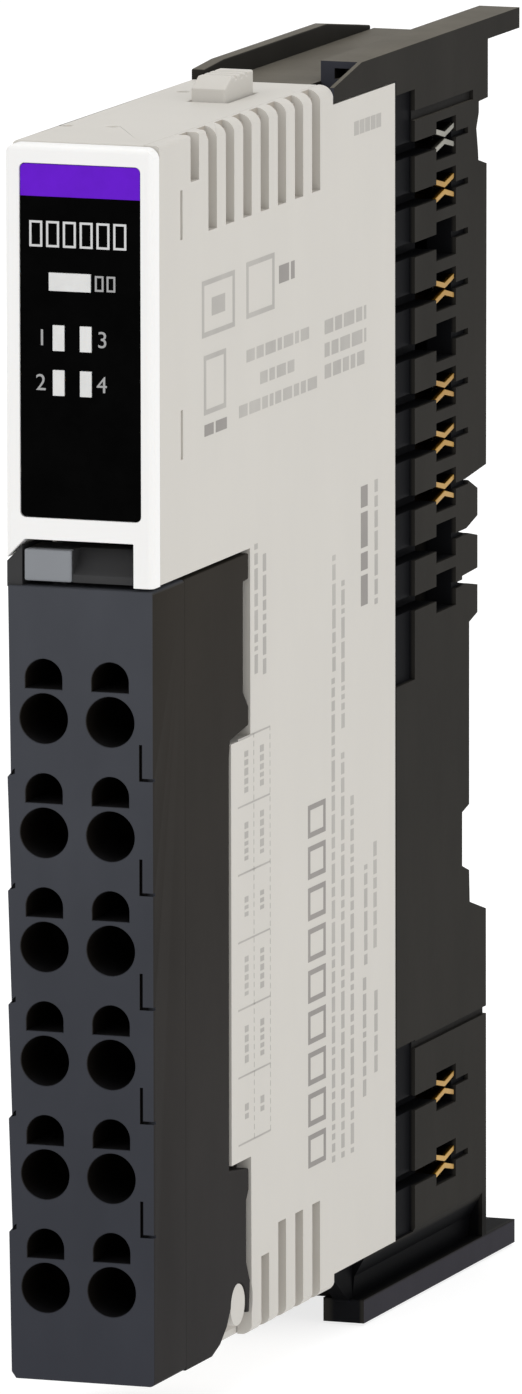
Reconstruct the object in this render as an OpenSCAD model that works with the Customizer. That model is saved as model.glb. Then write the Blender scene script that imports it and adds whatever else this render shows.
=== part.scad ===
// Slim rail-mounted input/output slice: a base on the 35 mm rail, an electronics
// module that plugs into it, and a hinged 12-way terminal block on the front.
// Origin: centre of the base's upper rail land, where the slice sits on the rail.
// +X right as seen from the front, +Y towards the rail, +Z up. Millimetres.

/* [Slice] */
// Width of one slice
slice_w = 12; // [12:0.1:12.4]
// Depth from the front face to the rail land
seat_depth = 75.1; // [75.1:0.1:75.4]
// Height of the rail land above the first row of wire entries
seat_rise = 6.63; // [6.5:0.01:6.7]

/* [Terminals] */
// Rows of wire entries
rows = 6; // [4:1:6]
// Vertical pitch of the rows
pitch = 8.84; // [8.8:0.01:8.84]
// Radius of a wire entry
entry_r = 1.95; // [1.6:0.05:2]
// Width of a release slot
slot_w = 3; // [2.6:0.1:3]

/* [Bus] */
// Half height of a bowed contact leaf pair
leaf_h = 0.55; // [0.4:0.05:1.05]
// Half length of a leaf pair along the depth
leaf_l = 2.2; // [1.9:0.1:2.3]

/* [Hidden] */
$fn = 64;
hw = slice_w / 2;
colx = [-2.95, 2.45];                // columns of wire entries
forkx = 1.2;                         // fork offset from its entry
bus_gold = [32.8, 24.74, 16.76, 12.73, 8.63];
bus_silver = [36.83];
bus_power = [-39.6, -45.67];
bus_blank = [28.8, 20.7, 4.6, 0.6];
bus_all = concat(bus_gold, bus_silver, bus_power);
pivot = [18.95, -48.4];              // hinge of the terminal block (depth, height)
latch_p = [9, 11.8];                 // pivot of the latch lever (depth, height)
bus_y = 67.5;                        // depth of the side contacts

// ---- helpers: x across, y from the front face, z from the first row of entries
module at() translate([0, -seat_depth, -seat_rise]) children();
module bx(x0, x1, y0, y1, z0, z1) translate([x0, y0, z0]) cube([x1 - x0, y1 - y0, z1 - z0]);
module yz(x0, x1) translate([x0, 0, 0]) rotate([90, 0, 90]) linear_extrude(x1 - x0) children();
module xz(y0, y1) translate([0, y1, 0]) rotate([90, 0, 0]) linear_extrude(y1 - y0) children();
module cy(x, z, r, y0, y1) translate([x, y0, z]) rotate([-90, 0, 0]) cylinder(r = r, h = y1 - y0);
module cx(y, z, r, x0, x1) translate([x0, y, z]) rotate([0, 90, 0]) cylinder(r = r, h = x1 - x0);
module pts(p) polygon(p);
// rounds one edge that runs along the depth: (x, z) is the sharp edge, sx and sz point outwards
module round_y(x, z, sx, sz, r, y0, y1) difference() {
    bx(min(x - sx * r, x + sx * 0.5), max(x - sx * r, x + sx * 0.5), y0, y1,
       min(z - sz * r, z + sz * 0.5), max(z - sz * r, z + sz * 0.5));
    cy(x - sx * r, z - sz * r, r, y0 - 1, y1 + 1);
}
// flat serpentine spring of n bars, standing on z0 and reaching z1, in the plane x = const
module serpentine_z(x0, x1, yc, w, z0, z1, n, t) {
    p = (z1 - z0 - t) / (n - 1);
    for (i = [0:n - 1]) bx(x0, x1, yc - w / 2, yc + w / 2, z0 + i * p, z0 + i * p + t);
    for (i = [0:n - 2]) let (s = i % 2 == 0 ? 1 : -1)
        bx(x0, x1, yc + s * w / 2 - (s > 0 ? t : 0), yc + s * w / 2 + (s > 0 ? 0 : t), z0 + i * p, z0 + (i + 1) * p + t);
}

// ---- base -------------------------------------------------------------
function base_outline() = [
    [41.2, 43.6], [41.2, 42.75], [55.6, 42.75], [55.6, -50.1], [48.5, -50.1], [48.5, -53.35],
    [77.3, -53.35], [77.2, -26.66], [73.25, -25.5], [73.1, -22.9], [71.4, -22.3], [71.4, -17.95],
    [73.1, -17.55], [73.1, -2.8], [75.1, -2.3], [75.1, -0.05], [71.4, 0.6], [71.4, 1.15],
    [75.1, 1.3], [75.1, 3.95], [71.6, 4.66], [75.1, 5.53], [75.1, 7.74], [72.3, 8.9],
    [77.2, 9.38], [77.3, 33.6], [75.3, 34.1], [75.2, 34.9], [74.8, 36.7], [75.4, 37.9],
    [75.4, 38.8], [77.6, 38.87], [77.6, 43.6]];
module base_cavity(x0, x1) {
    bx(x0, x1, 57.2, 73.4, 9.0, 41.2);
    bx(x0, x1, 57.2, 69.9, -28, 10);
    bx(x0, x1, 57.2, 75.9, -51.6, -28);
}
module side_pocket(z) bx(3.5, hw + 1, bus_y - 2.35, bus_y + 2.35, z - 1.55, z + 1.55);
module blade_groove(z) {
    bx(4.2, hw + 1, 55, bus_y, z - 0.6, z + 0.6);
    bx(5.6, hw + 1, bus_y, 72.8, z - 0.25, z + 0.25);
}
module base_housing() color([0.23, 0.22, 0.21]) at() difference() {
    union() {
        difference() {
            yz(-4.85, hw) pts(base_outline());
            base_cavity(-4.86, 4.9);
            // window for the plug of the electronics module
            bx(-2.6, 2.6, 55, 58, -49, 40.2);
        }
        // thick wall that carries the side contacts
        bx(3.55, 5, 57, 71, -1.4, 39);
        bx(3.55, 5, 57, 71, -48.5, -36.5);
        // upper and lower guide rails with their webs, on the right
        yz(5.65, hw) pts([[41, 42.75], [41, 43.95], [47.5, 45.2], [56, 45.2], [56, 42.75]]);
        bx(2.6, hw, 47.5, 85.3, 43.55, 45.2);
        yz(3.6, 4.8) pts([[42.5, -50.1], [47.8, -53.6], [56, -53.6], [56, -50.1]]);
        bx(-4.85, 2.7, 77, 81, 42.45, 43.6);
        bx(2.6, hw, 47.8, 84.3, -55.2, -53.3);
        bx(-4.85, hw, 48.5, 56, -53.35, -50.1);
        // lower fixed rail hook with its seat, at mid-width
        bx(-2.5, 2.5, 71.5, 75.1, -26.4, -22.4);
        bx(-2.5, 2.5, 76.35, 77.2, -27, -25.2);
    }
    for (z = concat(bus_all, bus_blank)) { side_pocket(z); blade_groove(z); }
    // sunk strips beside the module, in the two contact zones
    bx(hw - 0.45, hw + 1, 55, 60, -5.5, 41.6);
    bx(hw - 0.45, hw + 1, 55, 60, -50, -34.5);
    // shoulder above the contact zones
    bx(hw - 0.3, hw + 1, 59.5, 74, 39.1, 39.9);
    bx(hw - 0.3, hw + 1, 59.5, 78, -35.2, -34.6);
    // square socket in the front end of the upper rail
    bx(3.74, 5.15, 47, 50, 43.8, 44.65);
    // lower step in front of the upper rail's blunt end
    bx(2.6, 5.65, 41, 47.5, 43.02, 46);
    // undercut above the lower rail, on the right
    xz(40, 76.3) pts([[7, -49.7], [hw, -49.7], [4.95, -51.6], [4.8, -53.3], [7, -53.3]]);
    // guide for the rail lock, wider inside than at its mouth
    bx(-2.6, 2.6, 74.6, 79, 8.5, 42.4);
    bx(-3.6, 3.6, 73.9, 75.2, 8.5, 42.4);
}
module base_cover() color([0.24, 0.23, 0.22]) at() difference() {
    union() {
        yz(-hw, -4.9) pts(base_outline());
        // left guide walls
        yz(-hw, -4.9) pts([[41.5, 42.75], [41.5, 44.9], [46, 45.2], [70, 45.2], [80.4, 43.9], [80.4, 42.5], [77, 42.5], [56, 42.75]]);
        yz(-hw, -4.9) pts([[41.5, -50.1], [41.5, -53.6], [46, -55.2], [70, -55.2], [77.3, -54], [77.3, -53.3], [56, -50.1]]);
    }
    // slots for the side blades, and relief behind them
    for (z = bus_all) bx(-hw - 1, -4.8, bus_y - 1.35, bus_y + 1.35, z - 0.35, z + 0.35);
}
// one bus contact: bowed leaf pair on the right, blade on the left, tail to the module
module contact(z) translate([0, bus_y, z]) {
    for (s = [-1, 1]) {
        yz(4.9, 5.9) pts([[-leaf_l, s * leaf_h], [0, s * 0.05], [leaf_l, s * leaf_h],
            [leaf_l, s * (leaf_h + 0.42)], [0, s * 0.5], [-leaf_l, s * (leaf_h + 0.42)]]);
        bx(4, 5, -0.3, 0.3, min(s * 0.1, s * 0.5), max(s * 0.1, s * 0.5));
    }
    bx(3.3, 4.3, -0.3, 0.3, -0.5, 0.5);
    bx(2.95, 3.4, -2.36, 2.36, -1.5, 1.5);
    bx(-4.8, 3, -1.2, 1.2, -0.2, 0.2);
    bx(-hw - 1.6, -4.7, -1.2, 1.2, -0.2, 0.2);
    bx(-0.25, 0.25, -9.7, 1, -0.7, 0.7);
}
module bus_contacts() color([0.79, 0.62, 0.27]) at() for (z = bus_gold) contact(z);
module bus_contact_earth() color([0.62, 0.6, 0.56]) at() for (z = bus_silver) contact(z);
module power_contacts() color([0.79, 0.62, 0.27]) at() for (z = bus_power) contact(z);
module rail_lock_slider() color([0.75, 0.74, 0.72]) at() difference() {
    union() {
        bx(-2.5, 2.5, 74.1, 77.1, 9.45, 39.9);
        bx(-3.5, 3.5, 74.1, 75.05, 12, 39.9);
        bx(-2.5, 2.5, 76.35, 77.1, 7.85, 10);
        // foot that a screwdriver lifts
        bx(-2.5, 2.5, 75.3, 77.3, 37, 40);
    }
    // window for the spring
    bx(-1.5, 1.5, 74, 76.2, 24, 33);
    bx(-1.2, 1.2, 76.6, 78, 38, 39.2);
}
module rail_lock_spring() color([0.7, 0.7, 0.72]) at() serpentine_z(-1.2, 1.2, 75.1, 1.8, 24.05, 32.95, 9, 0.35);

// ---- electronics module ------------------------------------------------
function body_outline() = [
    [1.65, 44.18], [1.65, 10.5], [21.75, 10.5], [21.75, -4.2], [17.35, -4.2], [17.35, -37.2],
    [21.75, -37.2], [21.85, -51.3], [40.9, -51.3], [40.9, -49.95], [55.4, -49.95], [55.4, 42.65],
    [40.9, 42.65], [40.9, 44.18]];
module latch_notch() {
    bx(-4.95, 4.37, -1, 17.8, 9.5, 13.8);
    xz(-1, 8.4) pts([[-hw - 1, 9.5], [-hw - 1, 11.23], [-4.45, 13.8], [-4.45, 9.5]]);
}
module body_housing() color([0.8, 0.79, 0.76]) at() difference() {
    union() {
        difference() {
            yz(-hw, 4.7) pts(body_outline());
            // room for the terminal block between the cheeks
            bx(-4.85, 5, 10, 22.2, -52, 10.5);
            yz(-4.8, 5) pts([[7.6, 41.4], [54, 41.4], [54, -48.6], [24, -48.6], [24, 15], [7.6, 15]]);
            bx(-4.8, 5, 3, 8, 15, 41.4);
        }
        // tongue and stubs that the terminal block turns on
        cx(pivot[0], pivot[1], 2.9, -4.75, 4.7);
        bx(-4.75, 4.7, pivot[0], 24, -51.3, -46);
        cx(pivot[0], pivot[1], 1.64, -5.85, -4.7);
        // catch for the latch lever
        bx(-3, 3, 13.7, 14.9, 13.4, 14);
    }
    difference() { latch_notch(); bx(-3, 3, 13.7, 14.9, 13.4, 14); }
    // light pipe window, tab opening, tab hook opening, plug window, header window
    bx(-3, 1.6, 1, 4, 24.2, 35);
    bx(-1.35, 1.95, 27.75, 34.75, 40, 46);
    bx(-1.1, 1.7, 48.9, 51.7, 41, 46);
    bx(-2.4, 2.4, 53, 57, -48.3, 39.9);
    for (x = colx) bx(x + forkx - 0.55, x + forkx + 0.55, 21, 25, -46, 1.6);
    // dents along the top
    for (p = [[-1.5, 11.6], [-5, 11], [-3.7, 33.4]]) cyz(p[0], p[1], 0.45, 43.9, 45);
    round_y(-hw, 44.18, -1, 1, 0.5, 1, 41);
}
module cyz(x, y, r, z0, z1) translate([x, y, z0]) cylinder(r = r, h = z1 - z0);
module body_cover() color([0.81, 0.8, 0.77]) at() difference() {
    union() {
        yz(4.75, hw - 0.03) pts(body_outline());
        // shelf under the tab spring
        bx(-1.9, 4.8, 29.2, 33.2, 35.2, 36.2);
        cx(pivot[0], pivot[1], 1.64, 4.75, 5.85);
        bx(4.75, 4.9, pivot[0] - 1, 24, -50.6, -46);
    }
    // the edge is rounded more along the vents than at the front
    round_y(hw, 44.18, 1, 1, 1.1, 12, 42);
    round_y(hw, 44.18, 1, 1, 0.35, 1, 12.001);
    round_y(hw, -51.3, 1, -1, 0.9, 21, 42);
    latch_notch();
    // room for the terminal block's right arm around the stub
    difference() { cx(pivot[0], pivot[1], 3.1, 4.95, hw + 1); cx(pivot[0], pivot[1], 1.64, 4, 5.85); }
    // vents over the top edge
    for (i = [0:6]) vent_top(13.46 + i * 3.92, 36.33);
    vent_top(9.5, 40.56);
    for (i = [0:2]) vent_bottom(28.84 + i * 3.94, -43.5);
    vent_bottom(24.95, -45.5);
    // two short marks behind the bezel
    bx(hw - 0.25, hw + 1, 6.25, 6.75, 36.4, 40.2);
    bx(hw - 0.25, hw + 1, 6.25, 6.75, 19.5, 23.3);
}
module vent_top(y, z) { bx(hw - 0.75, hw + 1, y - 0.95, y + 0.95, z, 45); bx(5, hw + 1, y - 0.95, y + 0.95, 43.55, 45); }
module vent_bottom(y, z) bx(hw - 0.75, hw + 1, y - 0.9, y + 0.9, -52, z);
module round_z(x, y, sx, r, z0, z1) difference() {
    bx(min(x - sx * r, x + sx * 0.5), max(x - sx * r, x + sx * 0.5), y - 0.5, y + r, z0, z1);
    cyz(x - sx * r, y + r, r, z0 - 1, z1 + 1);
}
module round_x(y, z, r, x0, x1) difference() {
    bx(x0, x1, y - 0.5, y + r, z - r, z + 0.5);
    cx(y + r, z - r, r, x0 - 1, x1 + 1);
}
// block along the depth with rounded corners
module soft_block(x0, x1, y0, y1, z0, z1, r) {
    bx(x0 + r, x1 - r, y0, y1, z0, z1);
    bx(x0, x1, y0, y1, z0 + r, z1 - r);
    for (x = [x0 + r, x1 - r]) for (z = [z0 + r, z1 - r]) cy(x, z, r, y0, y1);
}
module front_bezel() color([0.93, 0.93, 0.91]) at() difference() {
    xz(0, 1.6) pts([[-hw, 44.1], [-hw, 12.24], [-4.45, 13.8], [4.37, 13.8], [4.37, 10.4], [hw, 10.4], [hw, 44.1]]);
    soft_block(-4.8, 5, -1, 1.25, 15.48, 42.69, 0.45);
    bx(-3, 1.6, -1, 3, 24.2, 35);
    round_z(hw, 0, 1, 0.5, 9, 46);
    round_z(-hw, 0, -1, 0.5, 9, 46);
    round_x(0, 44.1, 0.5, -hw - 1, hw + 1);
    round_y(-hw, 44.1, -1, 1, 0.9, -1, 3);
    round_y(hw, 44.1, 1, 1, 0.9, -1, 3);
}
module lens_holes() {
    bx(-2.5, 1.0, -1, 3, 32.9, 34.4);
    for (x = [-2.2, 0]) for (z = [28.3, 24.86]) bx(x, x + 1.05, -1, 3, z, z + 2.08);
}
module display_lens() color([0.02, 0.02, 0.02]) at() difference() {
    intersection() {
        bx(-4.75, 4.95, 0.12, 1.2, 15.53, 40.12);
        soft_block(-4.75, 4.95, 0, 2, 15.53, 42.64, 0.4);
    }
    lens_holes();
}
module colour_band() color([0.37, 0.09, 0.76]) at() intersection() {
    bx(-4.75, 4.95, 0.12, 1.2, 40.16, 42.64);
    soft_block(-4.75, 4.95, 0, 2, 15.53, 42.64, 0.4);
}
module status_light_pipe() color([0.88, 0.88, 0.86]) at() bx(-2.45, 0.95, 0.1, 4.7, 32.95, 34.35);
module channel_light_pipes() color([0.88, 0.88, 0.86]) at()
    for (x = [-2.15, 0.05]) for (z = [28.35, 24.91]) bx(x, x + 0.95, 0.1, 4.7, z, z + 1.98);
module display_pcb() color([0.1, 0.35, 0.2]) at() bx(-4.3, 4.2, 5.6, 6.6, 16.5, 40.5);
module display_leds() color([0.95, 0.95, 0.85]) at() {
    bx(-1.5, 0, 4.85, 5.6, 33, 34.3);
    for (x = [-2.15, 0.05]) for (z = [28.6, 25.16]) bx(x, x + 0.95, 4.85, 5.6, z, z + 1.5);
}
module main_pcb() color([0.1, 0.35, 0.2]) at()
    yz(-3.3, -2.1) pts([[7, 40.2], [52.5, 40.2], [52.5, -47.8], [25, -47.8], [25, 15.6], [7, 15.6]]);
module ic_processor() color([0.08, 0.08, 0.09]) at() bx(-2.1, -0.7, 34, 44, 18, 28);
module ic_converters() color([0.08, 0.08, 0.09]) at() for (z = [-12, -26]) bx(-2.1, -0.6, 33, 39, z, z + 7);
module isolation_transformer() color([0.2, 0.2, 0.22]) at() bx(-2.1, 3.6, 41, 50, -6, 6);
module capacitors() color([0.6, 0.6, 0.63]) at() for (z = [-22, -30, -38]) cx(46, z, 2.8, -2.1, 3.4);
module chip_parts() color([0.55, 0.45, 0.3]) at() {
    for (z = [0:5]) bx(-2.1, -1.5, 31, 32.6, -z * 7, -z * 7 + 0.9);
    for (y = [12, 16, 20, 24]) bx(-2.1, -1.5, y, y + 1.6, 21, 21.9);
}
module terminal_header() color([0.13, 0.13, 0.13]) at() difference() {
    bx(-4.7, 4.6, 24.05, 24.9, -47, 2);
    for (x = colx) for (i = [0:rows - 1]) bx(x + forkx - 0.35, x + forkx + 0.35, 23, 26, -i * pitch - 1.15, -i * pitch + 0.75);
}
module header_blades() color([0.72, 0.6, 0.35]) at() for (i = [0:rows - 1]) {
    bx(colx[0] + forkx - 0.3, colx[0] + forkx + 0.3, 17.6, 27, -i * pitch - 1.1, -i * pitch + 0.7);
    bx(-2.1, colx[0] + forkx, 25.2, 27, -i * pitch - 1.1, -i * pitch + 0.7);
    bx(colx[1] + forkx - 0.3, colx[1] + forkx + 0.3, 17.6, 28.5, -i * pitch - 1.1, -i * pitch + 0.7);
    bx(-2.1, colx[1] + forkx, 27.9, 28.5, -i * pitch - 0.5, -i * pitch + 0.3);
}
module backplane_plug() color([0.15, 0.15, 0.16]) at() difference() {
    union() { bx(-2.3, 2.3, 53.2, 61.2, -48.2, 39.8); }
    for (z = bus_all) { bx(-0.75, 0.75, 52, 62, z - 0.9, z + 0.9); bx(-1.2, 0.75, 52, 54.3, z - 0.9, z + 0.9); }
}
module plug_contacts() color([0.72, 0.6, 0.35]) at() for (z = bus_all) {
    for (s = [-1, 1]) bx(s * 0.4 - 0.1, s * 0.4 + 0.1, 53.6, 60.8, z - 0.65, z + 0.65);
    bx(-0.5, 0.5, 53.4, 54.2, z - 0.65, z + 0.65);
    bx(-0.7, -0.3, 52.6, 54.2, z - 0.65, z + 0.65);
    bx(-2.1, -0.3, 51.4, 52.7, z - 0.65, z + 0.65);
}
module release_tab() color([0.93, 0.93, 0.91]) at() {
    difference() {
        yz(-1.1, 1.7) pts([[28, 42], [28, 45.2], [29.6, 46], [34.5, 46], [34.5, 42]]);
        for (y = [30.4, 31.6, 32.8]) bx(-2, 2, y, y + 0.4, 45.7, 47);
    }
    bx(-1.1, 1.7, 28, 34.5, 40.2, 42.1);
    bx(-1.7, 2.3, 28, 34.5, 40.2, 41.1);
    // arm and hook that hold the module to the base
    bx(-0.8, 1.4, 34, 51, 40.2, 41.1);
    bx(-0.8, 1.4, 49.2, 51, 40.2, 42.6);
}
module release_spring() color([0.7, 0.7, 0.72]) at() serpentine_z(-0.5, 0.9, 31.2, 3, 36.2, 40.2, 5, 0.3);

// ---- terminal block ----------------------------------------------------
module d_slot(x, z, y0, y1) {
    r = slot_w / 2;
    bx(x - r, x + r, y0, y1, z + 2.29, z + 3.15);
    intersection() { bx(x - r, x + r, y0, y1, z + 3.1, z + 4.61); cy(x, z + 4.61 - r, r, y0, y1); }
}
module cell(c, i) {
    x = colx[c]; z = -i * pitch; xm = (colx[0] + colx[1]) / 2;
    x0 = c == 0 ? -hw + 0.05 : xm; x1 = c == 0 ? xm : hw - 0.05;
    difference() {
        // a hair apart, so that each cell is a piece of its own
        bx(x0 + (c == 0 ? 0 : 0.01), x1 - (c == 0 ? 0.01 : 0), 0, 6.98, z - 3.89, z - 3.91 + pitch);
        cy(x, z, entry_r, -1, 8);
        d_slot(x, z, -1, 8);
        // narrow L-shaped groove by the outer edge, between rows
        for (s = [-1, 1]) if (s == (c == 1 ? 1 : -1)) {
            if (i < rows - 1) bx(s * (hw - 1.07) - 0.14, s * (hw - 1.07) + 0.14, -1, 0.4, z - 5, z - 1.61);
            if (i > 0) {
                bx(s * (hw - 1.07) - 0.14, s * (hw - 1.07) + 0.14, -1, 0.4, z + pitch - 4.45, z + pitch);
                bx(s * (hw - 0.6) - 0.6, s * (hw - 0.6) + 0.6, -1, 0.4, z + pitch - 4.45, z + pitch - 4.2);
            }
        }
    }
}
row_top = pitch - 3.9;
row_bot = -(rows - 1) * pitch - 3.9;
module terminal_cells() color([0.25, 0.26, 0.27]) at() for (c = [0, 1]) for (i = [0:rows - 1]) cell(c, i);
module terminal_top_cap() color([0.25, 0.26, 0.27]) at() difference() {
    union() {
        bx(-hw + 0.05, hw - 0.05, 0, 7, row_top, 10.16);
        xz(0.3, 7) pts([[-hw, 10], [-hw, 12.02], [-4.75, 13.28], [-4.75, 10]]);
    }
    round_y(hw - 0.05, 10.16, 1, 1, 0.3, -1, 8);
}
module terminal_bottom_cap() color([0.24, 0.24, 0.26]) at() difference() {
    bx(-hw + 0.05, hw - 0.05, 0, 7, -51.41, row_bot);
    round_y(hw - 0.05, -51.41, 1, -1, 0.5, -1, 8);
    round_y(-hw + 0.05, -51.41, -1, -1, 0.5, -1, 8);
}
function arm_outline() = [
    [7, 10.16], [7, -51.41], [12.94, -51.41], [14.8, -50.8], [16.3, -49.7], [17.25, -48.4],
    [20.65, -48.4], [20.65, -49.3], [21.36, -49.41], [21.57, -46.92], [20.75, -45.35], [20.75, -40.47], [21.3, -39.77],
    [21.3, -38.04], [16.9, -37.5], [17, -5.3], [17.27, -3.89], [21.42, -3.27], [21.42, -1.79],
    [20.23, -0.51], [20.25, 8.06], [21.44, 8.12], [21.44, 10.16]];
module terminal_housing() color([0.23, 0.22, 0.21]) at() difference() {
    union() {
        difference() {
            yz(-hw + 0.05, hw - 0.05) pts(arm_outline());
            // inner part is cut back around the tongue
            cx(pivot[0], pivot[1], 3.2, -4.95, 4.95);
            bx(-4.95, 4.95, pivot[0], 23, -52, -45.8);
            cx(pivot[0], pivot[1], 1.7, -7, 7);
        }
        difference() {
            bx(-4.7, 4.7, 16, 21.2, -37.9, -3.5);
            bx(-7, 7, 30, 31, 0, 1);
        }
        // ear for the latch pin
        yz(-0.8, 0.8) pts([[7.9, 10], [7.9, 12.6], [8.6, 13.1], [9.4, 13.1], [10.1, 12.6], [10.1, 10]]);
    }
    for (x = colx) {
        for (i = [0:rows - 1]) bx(x - 2.1, x + 2.1, 6, 16, -i * pitch - 3, -i * pitch + 4.2);
        bx(x + forkx - 0.9, x + forkx + 0.9, 15.5, 23, -47.5, 1.8);
    }
    cx(latch_p[0], latch_p[1], 0.6, -2, 2);
}
module clamp_springs() color([0.72, 0.72, 0.74]) at() for (x = colx) for (i = [0:rows - 1]) translate([0, 0, -i * pitch]) {
    bx(x - 1.4, x + 1.4, 8, 15.6, 3.7, 4.0);
    bx(x - 1.4, x + 0.1, 15.3, 15.6, -2.1, 4.0);
    yz(x - 1.4, x + 1.4) pts([[8, 4.0], [8, 3.7], [13.2, -1.9], [13.6, -1.7], [8.4, 4.0]]);
}
module current_bars() color([0.72, 0.6, 0.35]) at() for (x = colx) for (i = [0:rows - 1]) translate([0, 0, -i * pitch]) {
    bx(x - 1.6, x + 1.8, 7.6, 15.9, -2.7, -2.2);
    bx(x + forkx - 0.7, x + forkx + 0.6, 15.62, 16.3, -2.7, 0.7);
    for (s = [-1, 1]) bx(x + forkx + s * 0.52 - 0.13, x + forkx + s * 0.52 + 0.13, 16.2, 20.9, -1.1, 0.7);
}

// ---- latch lever on top of the terminal block ---------------------------
module latch_lever() color([0.25, 0.26, 0.27]) at() difference() {
    union() {
        bx(-4.6, 4.2, 0.5, 4.2, 10.55, 13);
        bx(-4.2, 3.9, 3.9, 15.2, 10.95, 12.5);
        yz(-2.6, 2.6) pts([[15.2, 10.95], [15.2, 13.3], [15.9, 13.3], [16.6, 12.4], [16.6, 10.95]]);
        bx(-2.6, 2.6, 14, 15.3, 10.95, 12.5);
    }
    // concave finger scoop on the right, seat for the light pad on the left
    cx(-2.2, 15.6, 5.2, -0.7, 5);
    bx(-5, -0.75, -1, 1.3, 10, 14);
    // slot around the ear, and the pin's hole
    bx(-1, 1, 7.4, 10.7, 10, 14);
    cx(latch_p[0], latch_p[1], 0.58, -5, 5);
    // pocket over the spring
    bx(-1.6, 1.6, 11.8, 14.2, 10, 11.4);
}
module latch_pad() color([0.52, 0.53, 0.55]) at() bx(-4.6, -0.78, 0.3, 1.28, 10.55, 13);
module latch_pin() color([0.7, 0.7, 0.72]) at() cx(latch_p[0], latch_p[1], 0.55, -3.9, 3.7);
module latch_spring() color([0.7, 0.7, 0.72]) at() serpentine_z(-1.2, 1.2, 13, 1.8, 10.16, 11.4, 3, 0.2);

base_housing();
base_cover();
bus_contacts();
bus_contact_earth();
power_contacts();
rail_lock_slider();
rail_lock_spring();
body_housing();
body_cover();
front_bezel();
display_lens();
colour_band();
status_light_pipe();
channel_light_pipes();
display_pcb();
display_leds();
main_pcb();
ic_processor();
ic_converters();
isolation_transformer();
capacitors();
chip_parts();
terminal_header();
header_blades();
backplane_plug();
plug_contacts();
release_tab();
release_spring();
terminal_cells();
terminal_top_cap();
terminal_bottom_cap();
terminal_housing();
clamp_springs();
current_bars();
latch_lever();
latch_pad();
latch_pin();
latch_spring();
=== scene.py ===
import math
import random

import bmesh
import bpy
from mathutils.bvhtree import BVHTree
from mathutils import Matrix, Vector


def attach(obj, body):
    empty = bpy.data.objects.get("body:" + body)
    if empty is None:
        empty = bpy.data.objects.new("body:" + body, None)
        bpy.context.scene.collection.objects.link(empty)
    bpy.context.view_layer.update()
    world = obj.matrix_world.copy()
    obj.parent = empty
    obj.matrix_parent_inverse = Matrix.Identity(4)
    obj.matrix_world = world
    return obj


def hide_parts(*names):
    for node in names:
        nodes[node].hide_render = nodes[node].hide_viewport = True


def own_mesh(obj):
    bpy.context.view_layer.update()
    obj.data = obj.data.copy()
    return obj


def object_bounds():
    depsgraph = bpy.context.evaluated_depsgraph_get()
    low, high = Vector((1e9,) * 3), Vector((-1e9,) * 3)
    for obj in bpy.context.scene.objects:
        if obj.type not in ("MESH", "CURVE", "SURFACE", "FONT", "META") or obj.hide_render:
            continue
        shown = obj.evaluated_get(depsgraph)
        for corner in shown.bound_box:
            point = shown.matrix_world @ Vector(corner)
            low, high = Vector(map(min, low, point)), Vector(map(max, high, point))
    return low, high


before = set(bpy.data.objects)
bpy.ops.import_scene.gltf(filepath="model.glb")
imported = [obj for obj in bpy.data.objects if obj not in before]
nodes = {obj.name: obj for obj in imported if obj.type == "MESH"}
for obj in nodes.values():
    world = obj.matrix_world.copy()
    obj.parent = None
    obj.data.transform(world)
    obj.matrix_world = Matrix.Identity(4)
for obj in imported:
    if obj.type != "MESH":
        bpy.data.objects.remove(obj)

cad_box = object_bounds()
MM = 0.001
SY, SZ = 75.1, 6.63          # the front face and the first row of entries, from the rail land


def P(x, y, z):
    """Slice coordinates in mm (x across, y from the front face, z from the first row) to the row frame in metres."""
    return Vector((x * MM, (y - SY) * MM, (z - SZ) * MM))


# ---------------------------------------------------------------- materials
def new_mat(name, color, rough=0.5, metallic=0.0, coat=0.0, coat_rough=0.1, spec=0.5, sss=0.0, transmission=0.0):
    m = bpy.data.materials.new(name)
    m.use_nodes = True
    nt = m.node_tree
    b = nt.nodes["Principled BSDF"]
    b.inputs["Base Color"].default_value = (*color, 1)
    b.inputs["Roughness"].default_value = rough
    b.inputs["Metallic"].default_value = metallic
    b.inputs["Specular IOR Level"].default_value = spec
    b.inputs["Coat Weight"].default_value = coat
    b.inputs["Coat Roughness"].default_value = coat_rough
    if sss:
        b.inputs["Subsurface Weight"].default_value = sss
        b.inputs["Subsurface Radius"].default_value = (0.6 * MM, 0.5 * MM, 0.4 * MM)
        b.inputs["Subsurface Scale"].default_value = 1.0
    if transmission:
        b.inputs["Transmission Weight"].default_value = transmission
    return m, nt, b


def coords(nt):
    tc = nt.nodes.new("ShaderNodeTexCoord")
    mp = nt.nodes.new("ShaderNodeMapping")
    nt.links.new(tc.outputs["Object"], mp.inputs["Vector"])
    return mp


def noise(nt, src, scale, detail=4, rough=0.55):
    n = nt.nodes.new("ShaderNodeTexNoise")
    n.inputs["Scale"].default_value = scale
    n.inputs["Detail"].default_value = detail
    n.inputs["Roughness"].default_value = rough
    nt.links.new(src, n.inputs["Vector"])
    return n


def ramp(nt, src, stops):
    r = nt.nodes.new("ShaderNodeValToRGB")
    e = r.color_ramp.elements
    e[0].position, e[0].color = stops[0][0], (*stops[0][1], 1)
    e[1].position, e[1].color = stops[-1][0], (*stops[-1][1], 1)
    for p, c in stops[1:-1]:
        x = e.new(p)
        x.color = (*c, 1)
    nt.links.new(src, r.inputs["Fac"])
    return r


def math_node(nt, op, a, b=None, clamp=False):
    n = nt.nodes.new("ShaderNodeMath")
    n.operation = op
    n.use_clamp = clamp
    for i, v in enumerate((a, b)):
        if v is None:
            continue
        if isinstance(v, (int, float)):
            n.inputs[i].default_value = v
        else:
            nt.links.new(v, n.inputs[i])
    return n.outputs[0]


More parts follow.
